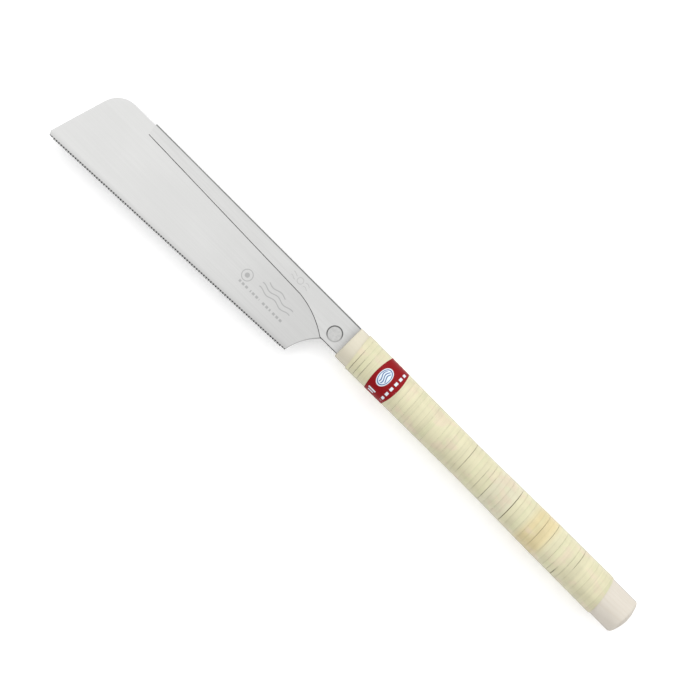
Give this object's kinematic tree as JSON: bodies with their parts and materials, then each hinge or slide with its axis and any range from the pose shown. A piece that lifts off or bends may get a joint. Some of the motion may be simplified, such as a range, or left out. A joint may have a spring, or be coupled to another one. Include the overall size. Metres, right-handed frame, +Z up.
{
  "type": "japanese back saw",
  "caption": "Thin pull-stroke back saw: tapered fine-toothed blade hooked on a pin in a folded steel back, long oval wooden handle wound with rattan.",
  "frame": {"origin": "bottom centre of the bounding box, the saw lying on its side with the blade plane level at the handle's mid height", "axes": "+X along the handle toward the butt, +Y toward the blade's back, teeth toward -Y, +Z up, square to the blade"},
  "size_m": [0.5876, 0.0676, 0.032],
  "materials": {
    "blade_steel": "satin ground carbon steel, dark hardened tooth tips",
    "back_steel": "satin folded steel sheet",
    "rivet_steel": "satin pressed rivet",
    "inner_steel": "plain mill finish, hidden",
    "handle_wood": "bare pale softwood, sanded",
    "rattan_cane": "split rattan with its natural skin, low sheen",
    "label_film": "printed red sticker, soft gloss"
  },
  "bodies": {
    "handle_and_back": {"folded_back": "back_steel", "hook_rivet": "rivet_steel", "tang_spacer": "inner_steel", "tang_pins": "inner_steel", "handle_half_upper": "handle_wood", "handle_half_lower": "handle_wood", "rattan_strip_1": "rattan_cane", "rattan_strip_2": "rattan_cane", "rattan_strip_3": "rattan_cane", "rattan_strip_4": "rattan_cane", "rattan_strip_5": "rattan_cane", "handle_label": "label_film"},
    "blade": {"saw_blade": "blade_steel"}
  },
  "joints": [
    {"name": "blade_swing", "type": "hinge", "parent": "handle_and_back", "child": "blade", "pos_m": [-0.025, 0.01444, 0.01602], "axis": [0, 0, 1], "range_deg": [0, 25]}
  ]
}
